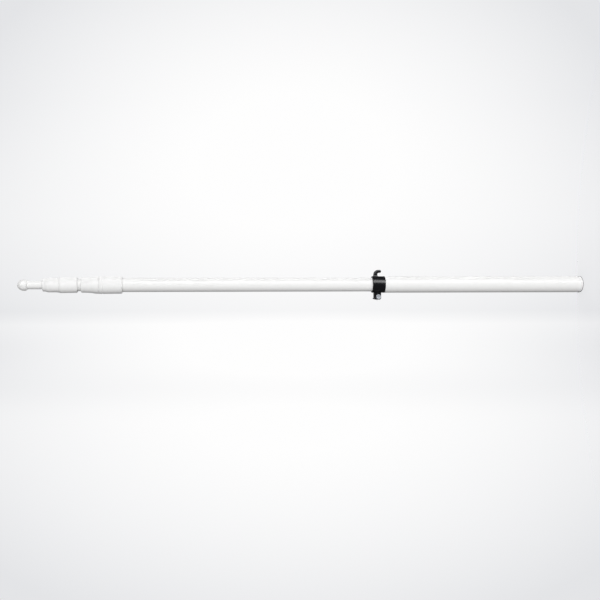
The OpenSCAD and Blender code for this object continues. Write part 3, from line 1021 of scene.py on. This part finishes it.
@dataclass
class TwistLock:
    """One twist lock: a sleeve fixed on a tube's end, and the nut that turns on it.

    The nut's outline has two lists of points in millimetres: in from the greatest radius, and up
    from the foot for the waist or down from the top for the nose.
    """

    where: str  # lower or upper
    sleeve_body: str
    nut_body: str
    tube_r: float
    inner_r: float
    swell: float  # sleeve's foot inside its greatest radius
    foot_round: float
    seam_round: float
    groove: bool
    waist: tuple  # nut's outline, from its foot upwards
    nose: tuple  # nut's outline, counted from its top
    nose_bead: float
    flutes: int = 60
    flute_depth: float = 0.22 * MM
    wall: float = 3 * MM
    play: float = 0.3 * MM
    recess: float = 5 * MM  # hollow in the sleeve's foot, round the tube
    seam_gap: float = 0.4 * MM
    fit: float = 0.1 * MM  # between the sleeve and the tube that it is fixed on

    def neck(self) -> float:
        """Gives the radius of the threaded neck that the nut turns on."""
        return max(self.tube_r - 0.5 * MM, self.inner_r + self.play + self.wall)

    def sleeve(self) -> None:
        """Turns the fixed sleeve, flutes its grip and dresses it."""
        node = f"{self.where}_lock_sleeve"
        span, nut = Span.of(node), Span.of(f"{self.where}_lock_nut")
        seam = nut.low - self.seam_gap
        r, low, edge = span.radius, span.low, self.seam_round
        foot_r = r - self.swell
        mouth = foot_r - self.foot_round - 0.1 * MM
        seat = self.tube_r + self.fit
        skin = [(seat, low + self.recess), (mouth, low + self.recess)]
        skin += [(mouth, low)] + arc(
            foot_r - self.foot_round, low + self.foot_round, self.foot_round, -90, 0, 8)
        rim_r = r
        if self.groove:
            rim_r -= 0.4 * MM
            cut = seam - 10.6 * MM
            skin += [(r, cut - 3.6 * MM), (r - 0.12 * MM, cut - 0.9 * MM), (r - 0.5 * MM, cut)]
            skin += [(r - 0.9 * MM, cut + 0.4 * MM), (r - 0.9 * MM, cut + 1.0 * MM)]
            skin += [(r - 0.6 * MM, cut + 1.6 * MM), (r - 0.1 * MM, cut + 3.2 * MM)]
            skin += [(r, cut + 5 * MM), (r - 0.1 * MM, cut + 7.4 * MM)]
        else:
            skin += [(r - 0.3 * MM, low + 0.65 * (seam - low))]
        skin += arc(rim_r - edge, seam - edge, edge, 0, 90, 5)
        grip = (low + self.foot_round + 3 * MM, seam - (15 if self.groove else 5) * MM)
        skin = with_rings(skin, grip)
        neck, top = self.neck(), span.high
        bore = self.inner_r + self.play
        skin += [(neck, seam), (neck, top - LEAD), (neck - LEAD, top), (bore, top)]
        skin += [(bore, seam - 4 * MM), (seat, seam - 4 * MM)]
        piece = Workpiece.turned(f"{node}_moulding", skin, 4 * self.flutes)
        piece.flute(self.flutes, self.flute_depth, *grip)
        piece.finish(Finishes.grip, self.sleeve_body, node, smooth=40)

    def nut(self) -> None:
        """Turns the nut, flutes its grip and dresses it."""
        node = f"{self.where}_lock_nut"
        span = Span.of(node)
        r, low, top = span.radius, span.low, span.high
        edge = 0.6 * MM
        skin = arc(r - edge, low + edge, edge, -90, 0, 4)
        skin += [(r - inset * MM, low + rise * MM) for inset, rise in self.waist]
        skin += [(r - inset * MM, top - drop * MM) for inset, drop in self.nose]
        bead = self.nose_bead
        nose_r = r - self.nose[-1][0] * MM
        skin += arc(nose_r - bead + 0.1 * MM, top - bead, bead, 10, 90, 8)
        grip = (low + 5 * MM, top - (self.nose[0][1] + 3) * MM)
        skin = with_rings(skin, grip)
        mouth, cavity = self.inner_r + 2 * self.play, self.neck() + self.play
        skin += [(mouth + 0.4 * MM, top), (mouth, top - 0.4 * MM), (mouth, top - 9 * MM)]
        skin += [(cavity, low + 18 * MM), (cavity, low)]
        piece = Workpiece.turned(f"{node}_moulding", skin, 4 * self.flutes)
        piece.flute(self.flutes, self.flute_depth, *grip)
        piece.finish(Finishes.grip, self.nut_body, node, smooth=40)

    def build(self) -> None:
        """Builds the sleeve and the nut."""
        self.sleeve()
        self.nut()


@dataclass
class FinialKnob:
    """Egg-shaped knob on the top tube, with the faint line where its mould parted."""

    dome: float = 20 * MM
    underside: tuple = (  # millimetres in from the greatest radius, millimetres up
        (4.45, 0), (4.2, 0.12), (3.6, 0.5), (2.6, 1.4), (1.6, 2.5), (0.8, 3.7), (0.25, 5), (0, 6.6))
    plug_r: float = 10.4 * MM
    parting: float = 0.12 * MM
    dome_steps: int = 28

    def build(self, tube_top: float) -> None:
        """Turns the knob and dresses it.

        Args:
            tube_top: Height of the tube's rim, which the knob stands on.
        """
        span = Span.of("finial_knob")
        r, start = span.radius, span.high - self.dome
        line = self.parting
        turns = [math.pi / 2 * i / self.dome_steps for i in range(1, self.dome_steps)]
        outline = (
            [(0, span.low), (self.plug_r - LEAD, span.low), (self.plug_r, span.low + LEAD)]
            + [(self.plug_r, tube_top)]
            + [(r - inset * MM, tube_top + rise * MM) for inset, rise in self.underside]
            + [(r, start - 3 * line), (r - line, start - line), (r - line, start + line)]
            + [(r * math.cos(t), start + self.dome * math.sin(t)) for t in turns]
            + [(0, span.high)])
        piece = Workpiece.turned("finial_knob_moulding", outline)
        piece.finish(Finishes.knob, "top_section", "finial_knob")


@dataclass
class HiddenFittings:
    """Bushes and collets that the sections slide and grip on. Their CAD shapes are kept."""

    nodes: tuple = ("lower_foot_bush", "middle_foot_bush", "top_foot_bush",
                    "lower_lock_collet", "upper_lock_collet")

    def build(self) -> None:
        """Dresses each one."""
        for node in self.nodes:
            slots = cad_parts[node].data.materials
            slots.clear()
            slots.append(Finishes.bush.material())
            LOG.info("%s: kept and dressed", node)


# ---------------------------------------------------------------------------------------------
# Studio
# ---------------------------------------------------------------------------------------------


@dataclass
class Viewpoint:
    """Where the camera stands: in front of the pole, on its side, looking slightly down it."""

    turn: float = 7.0  # below level
    distance: float = 3.023
    aim: float = 0.8855  # height that the middle of the view meets
    drop: float = 0.0464
    roll: float = 0.211
    lens: float = 60.0

    def axes(self) -> tuple[Vector, Vector, Vector]:
        """Gives the directions to the right, up and ahead of a level view of the lying pole."""
        way = math.radians(self.turn)
        ahead = Vector((0, math.cos(way), -math.sin(way)))
        right = Vector((0, -math.sin(way), -math.cos(way)))
        return right, Vector((1, 0, 0)), ahead

    def build(self) -> None:
        """Sets up the camera."""
        right, up, ahead = self.axes()
        roll = math.radians(self.roll)
        data = bpy.data.cameras.new("camera")
        data.lens = self.lens
        data.clip_start = 0.01
        side = math.cos(roll) * right - math.sin(roll) * up
        top = math.cos(roll) * up + math.sin(roll) * right
        stand = Vector((0, 0, self.aim)) - ahead * self.distance - up * self.drop
        turned = Matrix((side, top, -ahead)).transposed().to_4x4()
        bpy.context.scene.camera = hang("camera", data, Matrix.Translation(stand) @ turned)


@dataclass(frozen=True)
class Glow:
    """Soft light on one part of the sweep, brightest at one height."""

    top: float
    middle: float
    fall: float  # levels lost over the square of the height from the middle

    def level(self, graph: Graph, height: Socket) -> Socket:
        """Gives the glow's level at a height."""
        off = graph.maths("SUBTRACT", height, self.middle)
        lost = graph.maths("MULTIPLY", graph.maths("MULTIPLY", off, off), self.fall)
        return graph.maths("SUBTRACT", self.top, lost)


@dataclass(frozen=True)
class Band:
    """Soft band of painted shade across the sweep."""

    depth: float
    middle: float
    width: float

    def level(self, graph: Graph, height: Socket) -> Socket:
        """Gives the band's depth at a height."""
        off = graph.maths("DIVIDE", graph.maths("SUBTRACT", height, self.middle), self.width)
        square = graph.maths("MULTIPLY", off, off)
        near = graph.maths("EXPONENT", graph.maths("MULTIPLY", square, -1))
        return graph.maths("MULTIPLY", near, self.depth)


@dataclass
class Backdrop:
    """Pale paper sweep behind the pole, and the dim studio round it, as the world.

    Levels are what the sweep shows on screen, from 0 to 255, with its light and shade painted in:
    glows of painted light, and painted shade in soft bands and in the fall-off to the sides.
    Heights and sides are slopes of the line of sight from the view's middle.
    """

    wall: Glow = Glow(256, 0.14, 440)
    floor: Glow = Glow(257, -0.055, 320)
    # painted shadow of the pole: a soft dark band across the floor of the sweep
    painted_pole_shadow: Band = Band(4.5, -0.088, 0.02)
    turn_low: float = -0.024  # the sweep turns up into the wall from here
    turn_high: float = -0.0105
    side_middle: float = -0.006
    side_fall: float = 150.0  # painted shade: levels lost over the square of the side
    high_side_fall: float = 225.0
    falls_from: float = 0.08  # height from which the side falls off faster
    falls_to: float = 0.2
    shade: Band = Band(95, -0.05, 0.03)  # painted shadow of the pole: more fall-off to the sides at its height
    reach: float = 0.3  # height above and below which the sweep no longer changes
    least_ahead: float = 0.3  # keeps the slopes finite to the sides
    brightest: float = 254.0
    darkest: float = 229.0
    ambient: float = 0.35  # strength that lights matt surfaces
    studio: float = 0.055  # strength that gloss shows the rest of the room at
    gamma: float = 2.25  # from a level's share of 255 to light
    mirrored: float = 0.3  # strength that gloss shows the sweep at
    tint: Colour = (1.0, 0.998, 0.998)
    edge_tint: Colour = (0.985, 0.994, 1.018)

    def level(self, graph: Graph, way: Socket, view: Viewpoint) -> Socket:
        """Works out what the sweep shows in a direction.

        Args:
            graph: World tree.
            way: Direction of the ray.
            view: Viewpoint that the sweep was hung for.

        Returns:
            The level on screen.
        """
        right, up, ahead = view.axes()
        far = graph.maths("MAXIMUM", graph.dot(way, ahead), self.least_ahead)
        side = graph.maths("DIVIDE", graph.dot(way, right), far)
        height = graph.spread(graph.maths("DIVIDE", graph.dot(way, up), far),
                              -self.reach, self.reach, -self.reach, self.reach)
        # the floor's glow of painted light, less the painted shadow of the pole
        floor = graph.maths("SUBTRACT", self.floor.level(graph, height),
                            self.painted_pole_shadow.level(graph, height))
        turned = graph.spread(height, self.turn_low, self.turn_high, 0, 1)
        middle = graph.mix(turned, floor, self.wall.level(graph, height))
        # painted shade: fall-off to the sides, deeper across the pole's painted shadow
        fall = graph.maths("ADD", self.shade.level(graph, height), graph.spread(
            height, self.falls_from, self.falls_to, self.side_fall, self.high_side_fall))
        off = graph.maths("SUBTRACT", side, self.side_middle)
        lost = graph.maths("MULTIPLY", graph.maths("MULTIPLY", off, off), fall)
        level = graph.maths("SUBTRACT", middle, lost)
        return graph.maths("MAXIMUM", graph.maths("MINIMUM", level, self.brightest), self.darkest)

    def build(self, view: Viewpoint) -> None:
        """Makes the world.

        Args:
            view: Viewpoint that the sweep was hung for.
        """
        world = bpy.data.worlds.new("studio")
        bpy.context.scene.world = world
        world.use_nodes = True
        graph = Graph(world.node_tree)
        way = graph.node("ShaderNodeTexCoord").outputs["Generated"]
        level = self.level(graph, way, view)
        sweep = graph.maths("POWER", graph.maths("DIVIDE", level, 255.0), self.gamma)
        rays = graph.node("ShaderNodeLightPath").outputs
        behind = graph.spread(graph.dot(way, view.axes()[2]), 0.8, 0.9, self.studio, self.mirrored)
        by_gloss = graph.maths("MAXIMUM", rays["Is Glossy Ray"], rays["Is Transmission Ray"])
        light = graph.mix(by_gloss, self.ambient, behind)
        seen = graph.mix(rays["Is Camera Ray"], light, sweep)
        paper = graph.node("ShaderNodeBackground")
        edge = graph.maths("MULTIPLY", rays["Is Camera Ray"], graph.spread(
            level, self.darkest, self.brightest, 1, 0))
        colour = graph.blend(edge, (*self.tint, 1.0), (*self.edge_tint, 1.0))
        graph.feed(paper.inputs["Color"], colour)
        graph.feed(paper.inputs["Strength"], seen)
        graph.feed(graph.node("ShaderNodeOutputWorld").inputs["Surface"], paper.outputs[0])


@dataclass
class Lamp:
    """A softbox beside the pole, much longer than the pole, so that its light is even."""

    name: str
    angle: float  # from straight in front, towards the hook's side
    width: float
    watts: float
    distance: float = 2.2
    length: float = 7.0
    height: float = 0.8
    spreads: bool = True  # whether it lights matt surfaces
    mirrored: bool = True  # whether gloss shows it

    def build(self) -> None:
        """Hangs the lamp."""
        way = math.radians(self.angle)
        back = Vector((math.sin(way), -math.cos(way), 0))
        data = bpy.data.lights.new(self.name, "AREA")
        data.shape = "RECTANGLE"
        data.size = self.width
        data.size_y = self.length
        data.energy = self.watts
        up = Vector((0, 0, 1))
        turned = Matrix((up.cross(back), up, back)).transposed().to_4x4()
        stand = back * self.distance + up * self.height
        lamp = hang(self.name, data, Matrix.Translation(stand) @ turned)
        lamp.visible_camera = False
        lamp.visible_diffuse = self.spreads
        lamp.visible_glossy = self.mirrored
        LOG.info("lamp %s: %.0f W", self.name, self.watts)


@dataclass
class Floor:
    """Pale floor that the pole stands on. It shows the sweep, and the pole's soft shadow.

    It ends just behind the pole, so that the pole's tube is seen against the sweep alone.
    """

    radius: float = 1.4
    behind: float = 0.027  # how far it goes on behind the pole's middle
    lamp_height: float = 2.6
    lamp_watts: float = 2600.0

    def build(self) -> None:
        """Lays the floor, with a lamp of its own that keeps the shadow soft."""
        bpy.ops.object.select_all(action="DESELECT")
        bpy.ops.mesh.primitive_circle_add(
            vertices=FINE, radius=self.radius, fill_type="TRIFAN",
            location=(0, self.behind - self.radius, 0))
        floor = bpy.context.object
        floor.name = "floor"
        floor.is_shadow_catcher = True
        floor.visible_diffuse = floor.visible_glossy = floor.visible_shadow = False
        paper = Finish("pale_floor", "floor", (0.8, 0.8, 0.8), roughness=0.9, drift=0.004,
                       drift_size=0.5, grain_depth=0.01 * MM, wear=0.0)
        floor.data.materials.append(paper.material())
        only_floor = bpy.data.collections.new("lit_by_floor_lamp")
        only_floor.objects.link(floor)
        data = bpy.data.lights.new("floor_lamp", "AREA")
        data.size = 3.0
        data.energy = self.lamp_watts
        data.use_shadow = False
        lamp = hang("floor_lamp", data, Matrix.Translation((0, 0, self.lamp_height)))
        lamp.visible_camera = lamp.visible_glossy = False
        lamp.light_linking.receiver_collection = only_floor


def main() -> None:
    """Builds the pole from the foot up, then the studio."""
    logging.basicConfig(level=logging.INFO, format="%(message)s")
    tubes = [
        Tube("base_tube", "base", 2.0 * MM), Tube("lower_tube", "lower_section", 1.8 * MM),
        Tube("middle_tube", "middle_section", 1.6 * MM), Tube("top_tube", "top_section", 1.5 * MM)]
    for tube in tubes:
        tube.build()
    outer = {tube.node: Span.of(tube.node) for tube in tubes}
    base_bore = outer["base_tube"].radius - tubes[0].wall
    EndCap().build(base_bore)
    line = BoltLine.measured()
    ClampRing().build(line, base_bore, outer["lower_tube"].radius)
    HalyardHook().build()
    ClampBolt().build(line)
    TwistLock(
        "lower", "lower_section", "lower_nut", outer["lower_tube"].radius,
        outer["middle_tube"].radius, swell=0.5 * MM, foot_round=2.4 * MM, seam_round=0.5 * MM,
        groove=True, nose_bead=2.6 * MM,
        waist=((0, 4), (0.25, 8), (0.55, 12), (1.1, 16), (1.9, 20), (2.5, 24), (2.75, 28)),
        nose=((3.4, 6), (3.4, 3))).build()
    TwistLock(
        "upper", "middle_section", "upper_nut", outer["middle_tube"].radius,
        outer["top_tube"].radius, swell=0.6 * MM, foot_round=1.9 * MM, seam_round=0.5 * MM,
        groove=False, nose_bead=3 * MM, flutes=56,
        waist=((0.1, 4), (0.7, 8), (0.9, 12)),
        nose=((0.8, 18), (0.95, 16.6), (1.2, 15.8), (2.7, 9.2), (3.3, 8), (3.4, 6))).build()
    FinialKnob().build(outer["top_tube"].high)
    HiddenFittings().build()

    bpy.context.scene.view_settings.view_transform = "Standard"
    view = Viewpoint()
    view.build()
    Backdrop().build(view)
    for lamp in (
            Lamp("softbox", angle=17, width=0.6, watts=82, mirrored=False),
            Lamp("strip", angle=45, width=1.35, watts=158, spreads=False),
            Lamp("rim", angle=127, width=0.6, watts=64, mirrored=False)):
        lamp.build()
    Floor().build()


if __name__ == "__main__":
    main()
